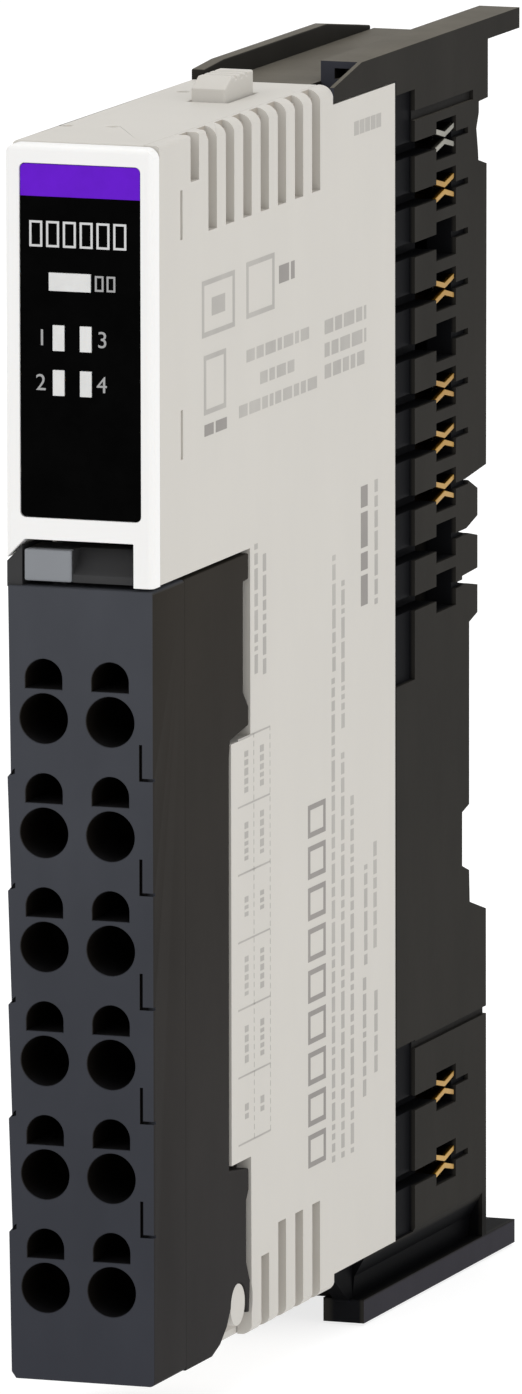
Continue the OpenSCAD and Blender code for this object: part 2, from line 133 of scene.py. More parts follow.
def tint_where(nt, col, mask, tint):
    """Multiplies the colour by tint where mask is 1."""
    m = nt.nodes.new("ShaderNodeMix")
    m.data_type = "RGBA"
    m.blend_type = "MULTIPLY"
    nt.links.new(mask, m.inputs[0])
    nt.links.new(col, m.inputs[6])
    m.inputs[7].default_value = (*tint, 1)
    return m.outputs[2]


def step(nt, val, a, b):
    r = nt.nodes.new("ShaderNodeMapRange")
    r.clamp = True
    r.inputs["From Min"].default_value = a
    r.inputs["From Max"].default_value = b
    nt.links.new(val, r.inputs["Value"])
    return r.outputs[0]


def place(nt, mp):
    sep = nt.nodes.new("ShaderNodeSeparateXYZ")
    nt.links.new(mp.outputs[0], sep.inputs[0])
    tc = nt.nodes.new("ShaderNodeTexCoord")
    nrm = nt.nodes.new("ShaderNodeSeparateXYZ")
    nt.links.new(tc.outputs["Normal"], nrm.inputs[0])
    return sep, nrm


def both(nt, *masks):
    out = masks[0]
    for m in masks[1:]:
        out = math_node(nt, "MULTIPLY", out, m)
    return out


# painted light and shade on the dark base, placed by position and facing
def base_painted_light(nt, mp, col):
    p, n = place(nt, mp)
    # painted shade: the recessed strip beside the contacts on the right side is darkened
    recess_painted_shade = both(nt, step(nt, p.outputs["X"], 0.0058, 0.0056), step(nt, p.outputs["X"], 0.003, 0.0035), step(nt, p.outputs["Z"], 0.0357, 0.0350))
    col = tint_where(nt, col, recess_painted_shade, (0.30, 0.33, 0.42))
    # painted reflection: the top-facing faces of the upper rail are lightened
    up = both(nt, step(nt, n.outputs["Z"], 0.6, 0.95), step(nt, p.outputs["Z"], 0.030, 0.034))
    col = tint_where(nt, col, up, (4.6, 4.5, 4.2))
    # painted light: the front-facing end of the upper rail is made lighter and bluer; painted shade: the undercut over
    # the lower rail is darkened
    end = both(nt, step(nt, n.outputs["Y"], -0.6, -0.95), step(nt, p.outputs["Z"], 0.0355, 0.0365), step(nt, p.outputs["X"], 0.002, 0.0024))
    col = tint_where(nt, col, end, (1.9, 2.1, 2.9))
    under = both(nt, step(nt, p.outputs["Z"], -0.0560, -0.0582), step(nt, p.outputs["Z"], -0.0601, -0.0599), step(nt, p.outputs["X"], 0.0, 0.001))
    col = tint_where(nt, col, under, (0.35, 0.35, 0.36))
    # painted light: the right-facing side of the lower rail is made lighter and bluer
    rail = both(nt, step(nt, p.outputs["Z"], -0.0599, -0.0601), step(nt, n.outputs["X"], 0.5, 0.9))
    return tint_where(nt, col, rail, (1.25, 1.28, 1.75))


# painted shade on the terminal front, placed by facing and position
def terminal_painted_shade(nt, mp, col):
    p, n = place(nt, mp)
    # painted shade: right-facing faces are darkened
    side = step(nt, n.outputs["X"], 0.5, 0.9)
    col = tint_where(nt, col, side, (0.62, 0.54, 0.42))
    # painted shade: the insides of the entry holes are darkened
    inner = both(nt, step(nt, p.outputs["Y"], -0.07506, -0.07488), step(nt, math_node(nt, "ABSOLUTE", p.outputs["X"]), 0.0056, 0.0053), step(nt, p.outputs["Z"], 0.0034, 0.0033))
    return tint_where(nt, col, inner, (0.22, 0.20, 0.18))


def body_painted_shade(nt, mp, col):
    p, n = place(nt, mp)
    # painted shade: the floors of the vent slots are darkened
    vent_floor_painted_shade = both(nt, step(nt, n.outputs["X"], 0.8, 0.95), step(nt, p.outputs["X"], 0.0056, 0.0054), step(nt, p.outputs["X"], 0.0048, 0.0050))
    return tint_where(nt, col, vent_floor_painted_shade, (0.66, 0.62, 0.58))


def plastic(name, color, var=0.06, rough=0.48, rvar=0.08, grain=2600, bump=0.12, spec=0.5, sss=0.0, coat=0.0, gradient=None, edge_highlight=0.0, post=None):
    """Moulded plastic: fine spark-eroded grain, slow mottling of colour and gloss, an optional tint along Z, an
    optional painted highlight on the edges, and an optional post step for painted light and shade.
    """
    m, nt, b = new_mat(name, color, rough, 0, coat, 0.25, spec, sss)
    mp = coords(nt)
    slow = noise(nt, mp.outputs[0], 55, 5, 0.6)
    streak_map = nt.nodes.new("ShaderNodeMapping")
    streak_map.inputs["Scale"].default_value = (1.0, 1.0, 0.22)
    nt.links.new(mp.outputs[0], streak_map.inputs["Vector"])
    streak = noise(nt, streak_map.outputs[0], 260, 3, 0.5)
    mix = math_node(nt, "ADD", math_node(nt, "MULTIPLY", slow.outputs["Fac"], 0.65), math_node(nt, "MULTIPLY", streak.outputs["Fac"], 0.35))
    lo = tuple(max(0, c * (1 - var)) for c in color)
    hi = tuple(min(1, c * (1 + var)) for c in color)
    col = ramp(nt, mix, [(0.32, lo), (0.5, color), (0.68, hi)]).outputs["Color"]
    if gradient:
        z0, z1, c0, c1 = gradient
        sep = nt.nodes.new("ShaderNodeSeparateXYZ")
        nt.links.new(mp.outputs[0], sep.inputs[0])
        mr = nt.nodes.new("ShaderNodeMapRange")
        mr.inputs["From Min"].default_value = z0
        mr.inputs["From Max"].default_value = z1
        nt.links.new(sep.outputs["Z"], mr.inputs["Value"])
        shade = ramp(nt, mr.outputs[0], [(0.0, c0), (1.0, c1)])
        mul = nt.nodes.new("ShaderNodeMix")
        mul.data_type = "RGBA"
        mul.blend_type = "MULTIPLY"
        mul.inputs["Factor"].default_value = 1.0
        nt.links.new(col, mul.inputs[6])
        nt.links.new(shade.outputs["Color"], mul.inputs[7])
        col = mul.outputs[2]
    # painted highlight: edges are paled by pointiness
    if edge_highlight:
        geo = nt.nodes.new("ShaderNodeNewGeometry")
        edge = math_node(nt, "MULTIPLY", math_node(nt, "SUBTRACT", geo.outputs["Pointiness"], 0.53), 9.0, True)
        edge = math_node(nt, "MULTIPLY", edge, edge_highlight, True)
        lighten = nt.nodes.new("ShaderNodeMix")
        lighten.data_type = "RGBA"
        nt.links.new(edge, lighten.inputs[0])
        nt.links.new(col, lighten.inputs[6])
        lighten.inputs[7].default_value = (*[min(1, c * 1.8 + 0.02) for c in color], 1)
        col = lighten.outputs[2]
    if post:
        col = post(nt, mp, col)
    nt.links.new(col, b.inputs["Base Color"])
    fine = noise(nt, mp.outputs[0], grain, 2, 0.5)
    rr = nt.nodes.new("ShaderNodeMapRange")
    rr.inputs["To Min"].default_value = rough - rvar
    rr.inputs["To Max"].default_value = rough + rvar
    nt.links.new(math_node(nt, "ADD", math_node(nt, "MULTIPLY", slow.outputs["Fac"], 0.6), math_node(nt, "MULTIPLY", fine.outputs["Fac"], 0.4)), rr.inputs["Value"])
    nt.links.new(rr.outputs[0], b.inputs["Roughness"])
    vor = nt.nodes.new("ShaderNodeTexVoronoi")
    vor.inputs["Scale"].default_value = grain * 0.7
    nt.links.new(mp.outputs[0], vor.inputs["Vector"])
    h = math_node(nt, "ADD", math_node(nt, "MULTIPLY", fine.outputs["Fac"], 0.6), math_node(nt, "MULTIPLY", vor.outputs["Distance"], 0.4))
    bp = nt.nodes.new("ShaderNodeBump")
    bp.inputs["Strength"].default_value = bump
    bp.inputs["Distance"].default_value = 0.00003
    nt.links.new(h, bp.inputs["Height"])
    nt.links.new(bp.outputs[0], b.inputs["Normal"])
    return m


def metal(name, color, rough=0.3, brushed=(1, 1, 1), tint=None, painted_pocket_shade=False):
    m, nt, b = new_mat(name, color, rough, 1.0)
    mp = coords(nt)
    st = nt.nodes.new("ShaderNodeMapping")
    st.inputs["Scale"].default_value = brushed
    nt.links.new(mp.outputs[0], st.inputs["Vector"])
    n1 = noise(nt, st.outputs[0], 900, 4, 0.6)
    n2 = noise(nt, mp.outputs[0], 160, 3, 0.5)
    tint = tint or tuple(c * 0.72 for c in color)
    col = ramp(nt, n2.outputs["Fac"], [(0.3, tint), (0.7, color)]).outputs["Color"]
    if painted_pocket_shade:
        # painted shade: dark inside the contact pockets, bright only on the outer edges
        p, _ = place(nt, mp)
        inside = both(nt, step(nt, p.outputs["X"], 0.00572, 0.0055), step(nt, p.outputs["X"], 0.003, 0.0032))
        col = tint_where(nt, col, inside, (0.07, 0.06, 0.05))
    nt.links.new(col, b.inputs["Base Color"])
    rr = nt.nodes.new("ShaderNodeMapRange")
    rr.inputs["To Min"].default_value = max(0.08, rough - 0.12)
    rr.inputs["To Max"].default_value = rough + 0.14
    nt.links.new(n1.outputs["Fac"], rr.inputs["Value"])
    nt.links.new(rr.outputs[0], b.inputs["Roughness"])
    bp = nt.nodes.new("ShaderNodeBump")
    bp.inputs["Strength"].default_value = 0.15
    bp.inputs["Distance"].default_value = 0.00002
    nt.links.new(n1.outputs["Fac"], bp.inputs["Height"])
    nt.links.new(bp.outputs[0], b.inputs["Normal"])
    return m


def glossy(name, color, rough=0.08, var=0.2, coat=1.0, sss=0.0, spec=0.5):
    m, nt, b = new_mat(name, color, rough, 0, coat, 0.04, spec, sss)
    mp = coords(nt)
    n = noise(nt, mp.outputs[0], 420, 5, 0.6)
    lo = tuple(c * (1 - var) for c in color)
    hi = tuple(min(1, c * (1 + var)) for c in color)
    nt.links.new(ramp(nt, n.outputs["Fac"], [(0.35, lo), (0.65, hi)]).outputs["Color"], b.inputs["Base Color"])
    rr = nt.nodes.new("ShaderNodeMapRange")
    rr.inputs["To Min"].default_value = max(0.03, rough - 0.04)
    rr.inputs["To Max"].default_value = rough + 0.06
    nt.links.new(n.outputs["Fac"], rr.inputs["Value"])
    nt.links.new(rr.outputs[0], b.inputs["Roughness"])
    bp = nt.nodes.new("ShaderNodeBump")
    bp.inputs["Strength"].default_value = 0.04
    bp.inputs["Distance"].default_value = 0.00002
    nt.links.new(n.outputs["Fac"], bp.inputs["Height"])
    nt.links.new(bp.outputs[0], b.inputs["Normal"])
    return m


def board(name):
    """Solder mask over copper tracks, with a fine weave under it."""
    m, nt, b = new_mat(name, (0.02, 0.13, 0.05), 0.3, 0, 0.6, 0.15)
    mp = coords(nt)
    br = nt.nodes.new("ShaderNodeTexBrick")
    br.inputs["Scale"].default_value = 420
    br.inputs["Color1"].default_value = (0.012, 0.10, 0.035, 1)
    br.inputs["Color2"].default_value = (0.02, 0.16, 0.06, 1)
    br.inputs["Mortar"].default_value = (0.04, 0.22, 0.09, 1)
    br.inputs["Mortar Size"].default_value = 0.03
    sw = nt.nodes.new("ShaderNodeMapping")
    sw.inputs["Rotation"].default_value = (0, math.radians(90), 0)
    nt.links.new(mp.outputs[0], sw.inputs["Vector"])
    nt.links.new(sw.outputs[0], br.inputs["Vector"])
    nt.links.new(br.outputs["Color"], b.inputs["Base Color"])
    n = noise(nt, mp.outputs[0], 1800, 2)
    bp = nt.nodes.new("ShaderNodeBump")
    bp.inputs["Strength"].default_value = 0.1
    bp.inputs["Distance"].default_value = 0.00003
    nt.links.new(n.outputs["Fac"], bp.inputs["Height"])
    nt.links.new(bp.outputs[0], b.inputs["Normal"])
    return m


M = {
    "light_grey": plastic("light_grey_abs", (0.515, 0.495, 0.458), 0.02, 0.5, 0.06, 2400, 0.10, spec=0.15, sss=0.04, post=body_painted_shade),
    "white": plastic("white_bezel", (0.765, 0.76, 0.75), 0.012, 0.4, 0.06, 2200, 0.06, spec=0.2, sss=0.05),
    "dark_base": plastic("dark_base_pa", (0.0235, 0.022, 0.0195), 0.16, 0.45, 0.08, 2300, 0.16, spec=0.006, post=base_painted_light),
    # painted shade: the terminal front is darker towards the bottom, with its side faces and hole insides darkened too
    "dark_terminal": plastic("dark_terminal_pa", (0.045, 0.0475, 0.055), 0.10, 0.42, 0.08, 2300, 0.14, spec=0.02, post=terminal_painted_shade,
                             gradient=(-0.058, 0.004, (0.74, 0.74, 0.78), (1.12, 1.12, 1.12))),
    # painted shade: a darker, browner copy of the terminal plastic for the right-facing faces and the rear housing;
    # its tint along Z is bluer towards the bottom
    "terminal_shaded_side": plastic("terminal_side_painted_shade", (0.026, 0.0235, 0.0205), 0.12, 0.48, 0.08, 2300, 0.14, spec=0.006,
                         gradient=(-0.058, 0.004, (1.05, 1.1, 1.25), (1.0, 0.98, 0.94))),
    "black_package": plastic("black_package", (0.018, 0.018, 0.019), 0.2, 0.5, 0.1, 1500, 0.2),
    "latch": plastic("latch_pa", (0.033, 0.033, 0.034), 0.12, 0.38, 0.08, 2300, 0.12, spec=0.12),
    # painted light: the latch pad, facing up and forward, gets a lighter grey copy of the dark latch plastic
    "grey_pad": plastic("grey_pad", (0.205, 0.215, 0.23), 0.05, 0.42, 0.06, 2300, 0.08, spec=0.15),
    "grey_lock": plastic("grey_lock", (0.42, 0.42, 0.40), 0.05, 0.5, 0.06, 2300, 0.1),
    "vent": plastic("vent_shade", (0.27, 0.25, 0.235), 0.05, 0.6, 0.06, 2000, 0.1),
    "lens": glossy("black_lens", (0.001, 0.001, 0.001), 0.22, 0.3, coat=0.0, spec=0.01),
    "purple": glossy("purple_band", (0.112, 0.0085, 0.50), 0.3, 0.05, coat=0.0, spec=0.06),
    "pipe": glossy("light_pipe", (0.62, 0.62, 0.61), 0.35, 0.04, coat=0.0, sss=0.1, spec=0.2),
    "led": glossy("led_body", (0.8, 0.8, 0.7), 0.2, 0.05, coat=0.5, sss=0.3),
    "gold": metal("gold_contact", (0.46, 0.26, 0.028), 0.36, (1, 0.1, 1), (0.34, 0.175, 0.018), painted_pocket_shade=True),
    "tin": metal("tin_contact", (0.30, 0.29, 0.25), 0.38, (1, 0.1, 1), painted_pocket_shade=True),
    "steel": metal("spring_steel", (0.56, 0.56, 0.58), 0.3, (1, 0.15, 1)),
    "can": metal("can_aluminium", (0.66, 0.66, 0.68), 0.35, (0.2, 1, 1)),
    "ceramic": plastic("chip_ceramic", (0.32, 0.22, 0.12), 0.15, 0.35, 0.08, 2000, 0.1),
    "board": board("solder_mask"),
    "ink": plastic("grey_ink", (0.215, 0.20, 0.185), 0.15, 0.55, 0.05, 3000, 0.05),
    "ink_pale": plastic("pale_ink", (0.34, 0.325, 0.30), 0.15, 0.55, 0.05, 3000, 0.05),
    "ink_bright": plastic("bright_ink", (0.55, 0.55, 0.55), 0.1, 0.5, 0.05, 3000, 0.05, spec=0.1),
    "ink_white": plastic("white_ink", (0.30, 0.30, 0.30), 0.1, 0.5, 0.05, 3000, 0.05),
}
LOOK = {
    "base_housing": "dark_base", "base_cover": "dark_base", "bus_contacts": "gold", "bus_contact_earth": "tin",
    "power_contacts": "gold", "rail_lock_slider": "grey_lock", "rail_lock_spring": "steel",
    "body_housing": "light_grey", "body_cover": "light_grey", "front_bezel": "white", "display_lens": "lens",
    "colour_band": "purple", "status_light_pipe": "pipe", "channel_light_pipes": "pipe", "display_pcb": "board",
    "display_leds": "led", "main_pcb": "board", "ic_processor": "black_package", "ic_converters": "black_package",
    "isolation_transformer": "black_package", "capacitors": "can", "chip_parts": "ceramic",
    "terminal_header": "black_package", "header_blades": "gold", "backplane_plug": "black_package",
    "plug_contacts": "gold", "release_tab": "light_grey", "release_spring": "steel", "terminal_cells": "dark_terminal",
    "terminal_top_cap": "dark_terminal", "terminal_bottom_cap": "dark_terminal", "terminal_housing": "terminal_shaded_side",
    "clamp_springs": "steel", "current_bars": "gold", "latch_lever": "latch", "latch_pad": "grey_pad",
    "latch_pin": "steel", "latch_spring": "steel",
}
BEVEL = {  # mm; the rest get 0.04
    "base_housing": 0.1, "base_cover": 0.12, "body_housing": 0.14, "body_cover": 0.12, "front_bezel": 0.07,
    "terminal_housing": 0.12, "latch_lever": 0.15, "latch_pad": 0.15, "release_tab": 0.15,
    "rail_lock_slider": 0.12, "display_lens": 0.03, "colour_band": 0.03, "status_light_pipe": 0.03,
    "channel_light_pipes": 0.03, "bus_contacts": 0.05, "bus_contact_earth": 0.05, "power_contacts": 0.05,
}


def set_look(o, mat):
    o.data.materials.clear()
    o.data.materials.append(mat)


def soften(o, width, segments=2, clamp=False):
    w = o.modifiers.new("weld", "WELD")
    w.merge_threshold = 2e-6
    d = o.modifiers.new("planes", "DECIMATE")
    d.decimate_type = "DISSOLVE"
    d.angle_limit = math.radians(0.4)
    b = o.modifiers.new("bevel", "BEVEL")
    b.width = width * MM
    b.segments = segments
    b.limit_method = "ANGLE"
    b.angle_limit = math.radians(32)
    b.use_clamp_overlap = clamp
    b.harden_normals = False
    es = o.modifiers.new("split", "EDGE_SPLIT")
    es.use_edge_angle = True
    es.use_edge_sharp = False
    es.split_angle = math.radians(17)
    for p in o.data.polygons:
        p.use_smooth = True


for n, o in nodes.items():
    set_look(o, M[LOOK[n]])
    soften(o, BEVEL.get(n, 0.04), clamp=n not in BEVEL)

# a rounded edge that runs away from its piece's own surface is held back
dg = bpy.context.evaluated_depsgraph_get()
for n, o in nodes.items():
    tree = BVHTree.FromPolygons([v.co for v in o.data.vertices], [p.vertices for p in o.data.polygons])
    ev = o.evaluated_get(dg)
    em = ev.to_mesh()
    far = max((tree.find_nearest(v.co)[3] for v in em.vertices), default=0)
    ev.to_mesh_clear()
    if far > 0.09 * MM:
        o.modifiers["bevel"].use_clamp_overlap = True
        print("held back:", n, round(far / MM, 2))


def new_obj(name, bm, mats, body):
    me = bpy.data.meshes.new(name)
    bm.normal_update()
    bm.to_mesh(me)
    bm.free()
    o = bpy.data.objects.new(name, me)
    bpy.context.scene.collection.objects.link(o)
    for m in mats:
        me.materials.append(m)
    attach(o, body)
    return o


def add_box(bm, x0, x1, y0, y1, z0, z1, mat=0):
    vs = [bm.verts.new(P(x, y, z)) for x in (x0, x1) for y in (y0, y1) for z in (z0, z1)]
    for q in ((0, 1, 3, 2), (4, 6, 7, 5), (0, 4, 5, 1), (2, 3, 7, 6), (0, 2, 6, 4), (1, 5, 7, 3)):
        f = bm.faces.new([vs[i] for i in q])
        f.material_index = mat


# ---------------------------------------------------------------- springs, copied as their own objects on their bodies
def live_spring(node, body):
    me = nodes[node].data.copy()
    me.name = node + "_coil"
    o = bpy.data.objects.new(node + "_coil", me)
    bpy.context.scene.collection.objects.link(o)
    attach(o, body)
    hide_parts(node)
    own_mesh(o)


live_spring("rail_lock_spring", "base")
live_spring("release_spring", "electronics")

# ---------------------------------------------------------------- front of the terminal block, one moulding
PITCH, ROWS, COLX, ENTRY_R, SLOT_R = 8.84, 6, (-2.95, 2.45), 1.95, 1.5


def arc(cx_, cz_, r, a0, a1, k):
    return [(cx_ + r * math.cos(math.radians(a0 + (a1 - a0) * i / k)), cz_ + r * math.sin(math.radians(a0 + (a1 - a0) * i / k))) for i in range(k + 1)]


def plate(bm, outer, holes, y0, y1, fill=True):
    edges = []
    for loop in [outer] + holes:
        vs = [bm.verts.new(P(x, y0, z)) for x, z in loop]
        edges += [bm.edges.new((vs[i], vs[(i + 1) % len(vs)])) for i in range(len(vs))]
    got = bmesh.ops.triangle_fill(bm, use_beauty=True, use_dissolve=False, edges=edges)
    faces = [g for g in got["geom"] if isinstance(g, bmesh.types.BMFace)]
    ext = bmesh.ops.extrude_face_region(bm, geom=faces)
    bmesh.ops.translate(bm, vec=(0, (y1 - y0) * MM, 0), verts=[g for g in ext["geom"] if isinstance(g, bmesh.types.BMVert)])


def inset(loop, d):
    """Every corner moved by d to the left of the direction of travel."""
    out = []
    for i in range(len(loop)):
        a, b, c = Vector(loop[i - 1]), Vector(loop[i]), Vector(loop[(i + 1) % len(loop)])
        u, v = (b - a).normalized(), (c - b).normalized()
        n, m = Vector((-u.y, u.x)), Vector((-v.y, v.x))
        w = (n + m) / max(0.4, 1 + n.dot(m))
        out.append((b.x + w.x * d, b.y + w.y * d))
    return out


def signed_area(loop):
    return sum(loop[i - 1][0] * loop[i][1] - loop[i][0] * loop[i - 1][1] for i in range(len(loop))) / 2


def soft_plate(bm, outer, holes, y0, y1, r, k=3):
    """A plate whose front edges, outside and round every hole, are rounded with radius r."""
    flat, back = [], []
    for j, loop in enumerate([outer] + holes):
        if (signed_area(loop) > 0) != (j == 0):
            loop = loop[::-1]
        rings = []
        for i in range(k + 1):
            phi = math.radians(90 * i / k)
            pts = inset(loop, r * (1 - math.sin(phi)))
            rings.append([bm.verts.new(P(x, y0 + r * (1 - math.cos(phi)), z)) for x, z in pts])
        rings.append([bm.verts.new(P(x, y1, z)) for x, z in loop])
        n = len(loop)
        for a, b in zip(rings, rings[1:]):
            for i in range(n):
                bm.faces.new((a[i], a[(i + 1) % n], b[(i + 1) % n], b[i]))
        flat += [bm.edges.get((rings[0][i], rings[0][(i + 1) % n])) for i in range(n)]
        back += [bm.edges.get((rings[-1][i], rings[-1][(i + 1) % n])) for i in range(n)]
    bmesh.ops.triangle_fill(bm, use_beauty=True, use_dissolve=False, edges=flat)
    bmesh.ops.triangle_fill(bm, use_beauty=True, use_dissolve=False, edges=back)


left = [(-5.85, 10.16)]
for i in range(5):
    zb = -i * PITCH - 4.4
    left += [(-5.68, zb + 0.05), (-5.95, zb - 0.25)]
left += [(-5.78, -50.9), (-5.4, -51.41)]
outer = left + [(5.5, -51.41)] + arc(5.5, -50.96, 0.45, -90, 0, 6)[1:] + arc(5.65, 9.86, 0.3, 0, 90, 5)
holes = []
for x in COLX:
    for i in range(ROWS):
        z = -i * PITCH
        holes.append(arc(x, z, ENTRY_R, 0, 352.5, 47))
        holes.append([(x - SLOT_R, z + 2.29), (x + SLOT_R, z + 2.29)] + arc(x, z + 4.61 - SLOT_R, SLOT_R, 0, 180, 20))
bm = bmesh.new()
soft_plate(bm, outer, holes, 0, 7, 0.14)
bmesh.ops.recalc_face_normals(bm, faces=bm.faces)
blank_me = bpy.data.meshes.new("blank")
bm.to_mesh(blank_me)
bm.free()
blank = bpy.data.objects.new("blank", blank_me)
bm = bmesh.new()
for i in range(5):
    z = -i * PITCH
    plate(bm, [(4.8, z - 4.45), (7, z - 4.45), (7, z - 4.2), (5.06, z - 4.2), (5.06, z - 1.61), (4.8, z - 1.61)], [], -1, 0.4)
    plate(bm, [(-5.66, z - 4.5), (-5.3, z - 4.38), (-5.3, z - 3.95), (-5.5, z - 4.1)], [], -1, 0.4)
bmesh.ops.recalc_face_normals(bm, faces=bm.faces)
cut_me = bpy.data.meshes.new("cut")
bm.to_mesh(cut_me)
bm.free()
cut = bpy.data.objects.new("cut", cut_me)
for o in (blank, cut):
    bpy.context.scene.collection.objects.link(o)
bo = blank.modifiers.new("grooves", "BOOLEAN")
bo.operation = "DIFFERENCE"
bo.solver = "EXACT"
bo.object = cut
dg = bpy.context.evaluated_depsgraph_get()
front_me = bpy.data.meshes.new_from_object(blank.evaluated_get(dg), depsgraph=dg)
bm = bmesh.new()
bm.from_mesh(front_me)
n_main = len(bm.faces)
plate(bm, [(-6, 10.05), (-6, 12.0), (-4.78, 13.24), (-4.78, 10.05)], [], 0.35, 7)
bm.faces.ensure_lookup_table()
for f in bm.faces[n_main:]:
    f.material_index = 1
bmesh.ops.recalc_face_normals(bm, faces=bm.faces)
for o in (blank, cut):
    bpy.data.objects.remove(o)
for m in (blank_me, cut_me, front_me):
    bpy.data.meshes.remove(m)
terminal_front = new_obj("terminal_front", bm, [M["dark_terminal"], M["latch"], M["terminal_shaded_side"]], "terminal_block")
# painted shade: right-facing side faces take the darker copy of the terminal plastic
for p in terminal_front.data.polygons:
    if p.normal.x > 0.9 and p.center.x > 0.0058:
        p.material_index = 2
    p.use_smooth = abs(p.normal.y) < 0.999
es = terminal_front.modifiers.new("split", "EDGE_SPLIT")
es.use_edge_sharp = False
es.split_angle = math.radians(32)
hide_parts("terminal_cells", "terminal_top_cap", "terminal_bottom_cap")


# ---------------------------------------------------------------- printing on the side (generic marks only)
SIDE = 5.97
INK0, INK1 = SIDE - 0.004, SIDE + 0.008


def ink_bar(bm, y0, y1, z0, z1, mat=0):
    add_box(bm, INK0, INK1, min(y0, y1), max(y0, y1), min(z0, z1), max(z0, z1), mat)


def ink_quad(bm, a, b, t, mat=0):
    """A thin line from a to b, (y, z) in mm."""
    d = Vector((b[0] - a[0], b[1] - a[1]))
    n = Vector((-d.y, d.x)).normalized() * t / 2
    c = [(a[0] + n.x, a[1] + n.y), (b[0] + n.x, b[1] + n.y), (b[0] - n.x, b[1] - n.y), (a[0] - n.x, a[1] - n.y)]
    lo = [bm.verts.new(P(INK0, *q)) for q in c]
    hi = [bm.verts.new(P(INK1, *q)) for q in c]
    for q in ([hi[3], hi[2], hi[1], hi[0]], lo):
        bm.faces.new(q).material_index = mat
    for i in range(4):
        j = (i + 1) % 4
        bm.faces.new([lo[j], lo[i], hi[i], hi[j]]).material_index = mat


def dashes_z(bm, y, z0, z1, t, rnd, lo=0.5, hi=2.4, gap=0.35, mat=0):
    """A line of unreadable dashes running up the side, like small print turned on its end."""
    z = z0
    while z < z1 - 0.3:
        ln = min(rnd.uniform(lo, hi), z1 - z)
        ink_bar(bm, y - t / 2, y + t / 2, z, z + ln, mat)
        z += ln + gap


def dashes_y(bm, y0, y1, z, t, rnd, mat=0):
    y = y0
    while y < y1 - 0.4:
        ln = min(rnd.uniform(0.8, 2.6), y1 - y)
        ink_bar(bm, y, y + ln, z - t / 2, z + t / 2, mat)
        y += ln + 0.45


rnd = random.Random(11)
bm = bmesh.new()
# wiring table: two columns by six rows
T0, T1, TM = 18.9, 26.2, 22.5
zt = [-4.1 - i * 5.3 for i in range(7)]
for y, m in ((T1, 1), (TM, 1)):
    z = zt[-1]
    while z < zt[0] - 0.1:
        ink_bar(bm, y - 0.06, y + 0.06, z, min(z + 0.42, zt[0]), m)
        z += 0.7
for z in zt:
    ink_bar(bm, T0, T1, z - 0.07, z + 0.07, 1)
for i in range(6):
    zc = (zt[i] + zt[i + 1]) / 2
    for yc in ((T0 + TM) / 2 + 0.1, (TM + T1) / 2):
        ln = 3.4 if i % 3 != 2 else 1.6
        dashes_z(bm, yc, zc - ln / 2, zc + ln / 2, 0.85, rnd, 0.3, 0.6, 0.22, 1)
# small print in lines that run up the side
for y, z0, z1, m in ((23.1, 0.5, 11.2, 1), (25.0, 0.2, 10.0, 1), (40.8, -41, -2.5, 1), (43.0, -41, -8.5, 1), (45.2, -41, -12.5, 1),
                     (41.0, -2.0, 7.2, 1), (43.1, -6.8, 4.9, 1), (48.1, -37, -27.5, 1), (50.8, -35.5, -28.4, 1),
                     (48.4, -26.5, -18.5, 1), (50.6, -25.5, -16.6, 1), (50.9, 1.9, 11.8, 1)):
    dashes_z(bm, y, z0, z1, 0.75, rnd, 0.35, 1.7, 0.3, m)
# plain frames in place of the large lettering
def frame_mark(bm, y0, y1, z0, z1, t, mat=0):
    ink_bar(bm, y0, y1, z0, z0 + t, mat)
    ink_bar(bm, y0, y1, z1 - t, z1, mat)
    ink_bar(bm, y0, y0 + t * 1.3, z0 + t, z1 - t, mat)
    ink_bar(bm, y1 - t * 1.3, y1, z0 + t, z1 - t, mat)


for i in range(9):
    frame_mark(bm, 34.9, 39.0, -40.5 + i * 3.27, -37.9 + i * 3.27, 0.42, 0)
for z0, z1 in ((2.2, 4.6), (5.0, 6.4), (6.8, 9.6), (10.0, 11.7)):
    ink_bar(bm, 47.3, 48.9, z0, z1, 0)
# lines across, under the marks
for y0, y1, z in ((21.0, 35.4, 25.5), (24.1, 31.9, 23.4), (19.3, 37.1, 21.4)):
    dashes_y(bm, y0, y1, z, 0.95, rnd, 1)
for z in (25.4, 23.6, 21.9):
    dashes_y(bm, 38.9, 48.6, z, 1.1, rnd, 1)
# plain frames where the group of marks is
frame_mark(bm, 11.0, 18.4, 28.2, 32.6, 0.4, 1)
ink_bar(bm, 13.2, 16.2, 29.7, 31.1, 1)
frame_mark(bm, 21.0, 27.4, 28.4, 32.8, 0.4, 1)
dashes_y(bm, 28.4, 32.0, 30.9, 1.4, rnd, 0)
frame_mark(bm, 11.4, 16.4, 22.2, 26.8, 0.4, 1)
dashes_y(bm, 11.5, 16.6, 21.0, 0.9, rnd, 0)
# moulded date window near the top rear corner, printed here as a pale block
for i in range(5):
    ink_bar(bm, 45.8 + i * 1.3, 46.9 + i * 1.3, 39.6, 40.7, 1)
bmesh.ops.recalc_face_normals(bm, faces=bm.faces)
side_print = new_obj("side_print", bm, [M["ink"], M["ink_pale"]], "electronics")


